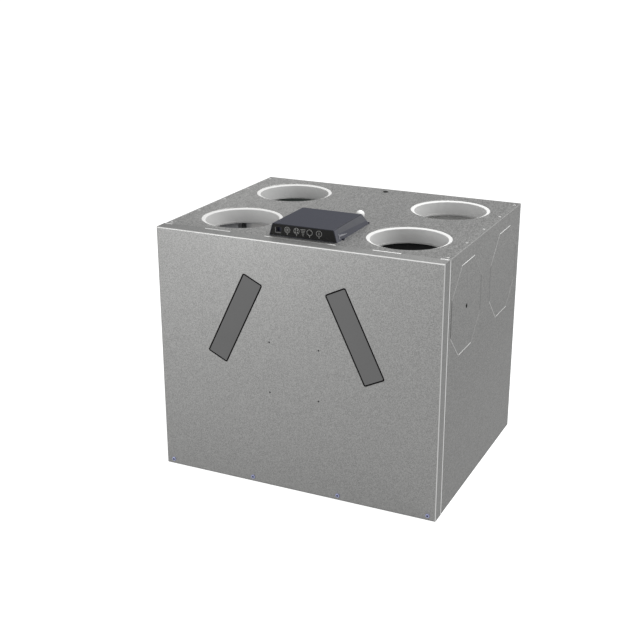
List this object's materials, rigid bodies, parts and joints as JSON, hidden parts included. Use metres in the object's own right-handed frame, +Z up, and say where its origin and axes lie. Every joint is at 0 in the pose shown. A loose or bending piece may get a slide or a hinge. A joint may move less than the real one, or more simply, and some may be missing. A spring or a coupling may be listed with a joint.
{
  "type": "air handling unit",
  "caption": "Compact heat-recovery ventilation unit: plated sheet-steel casing, round duct collars on top, a small control box and slanted filter covers in the front.",
  "frame": {"origin": "middle of the casing's footprint, on the floor", "axes": "+X to the right along the front, +Y from the front into the depth, +Z up"},
  "size_m": [0.6414, 0.523, 0.5758],
  "materials": {
    "galvanised_sheet": "hot-dip plated steel with a fine spangle, satin",
    "foam": "moulded bead foam, matt",
    "collar_plastic": "moulded, satin",
    "filter_cover_plastic": "moulded, matt",
    "dark_rubber": "moulded, matt",
    "rivet_aluminium": "plain",
    "screw_zinc": "blue zinc plate",
    "dark_rivet": "dark plated",
    "control_plastic": "moulded, satin",
    "panel_plastic": "moulded, gloss",
    "socket_plastic": "moulded, satin",
    "gland_nylon": "moulded, satin"
  },
  "bodies": {
    "root": {"back_panel": "galvanised_sheet", "back_rivets": "rivet_aluminium", "base_panel": "galvanised_sheet", "cable_gland_cap": "gland_nylon", "cable_gland_nut": "gland_nylon", "control_bezel": "control_plastic", "control_box_cover": "control_plastic", "control_box_lugs": "control_plastic", "control_front_panel": "panel_plastic", "duct_collar_back_left": "collar_plastic", "duct_collar_back_right": "collar_plastic", "duct_collar_front_left": "collar_plastic", "duct_collar_front_right": "collar_plastic", "filter_cover_left": "filter_cover_plastic", "filter_cover_right": "filter_cover_plastic", "filter_gasket_left": "dark_rubber", "filter_gasket_right": "dark_rubber", "foam_core_back_left": "foam", "foam_core_back_right": "foam", "foam_core_front_left": "foam", "foam_core_front_right": "foam", "foam_core_lower": "foam", "front_cover": "galvanised_sheet", "front_rivets": "dark_rivet", "front_screws": "screw_zinc", "left_port_cover_back": "galvanised_sheet", "left_port_cover_front": "galvanised_sheet", "left_port_plug": "dark_rubber", "left_side_panel": "galvanised_sheet", "right_port_cover_back": "galvanised_sheet", "right_port_cover_front": "galvanised_sheet", "right_port_plug": "dark_rubber", "right_side_panel": "galvanised_sheet", "service_socket": "socket_plastic", "top_panel": "galvanised_sheet", "top_plug": "dark_rubber", "top_rivets": "rivet_aluminium"}
  },
  "joints": []
}
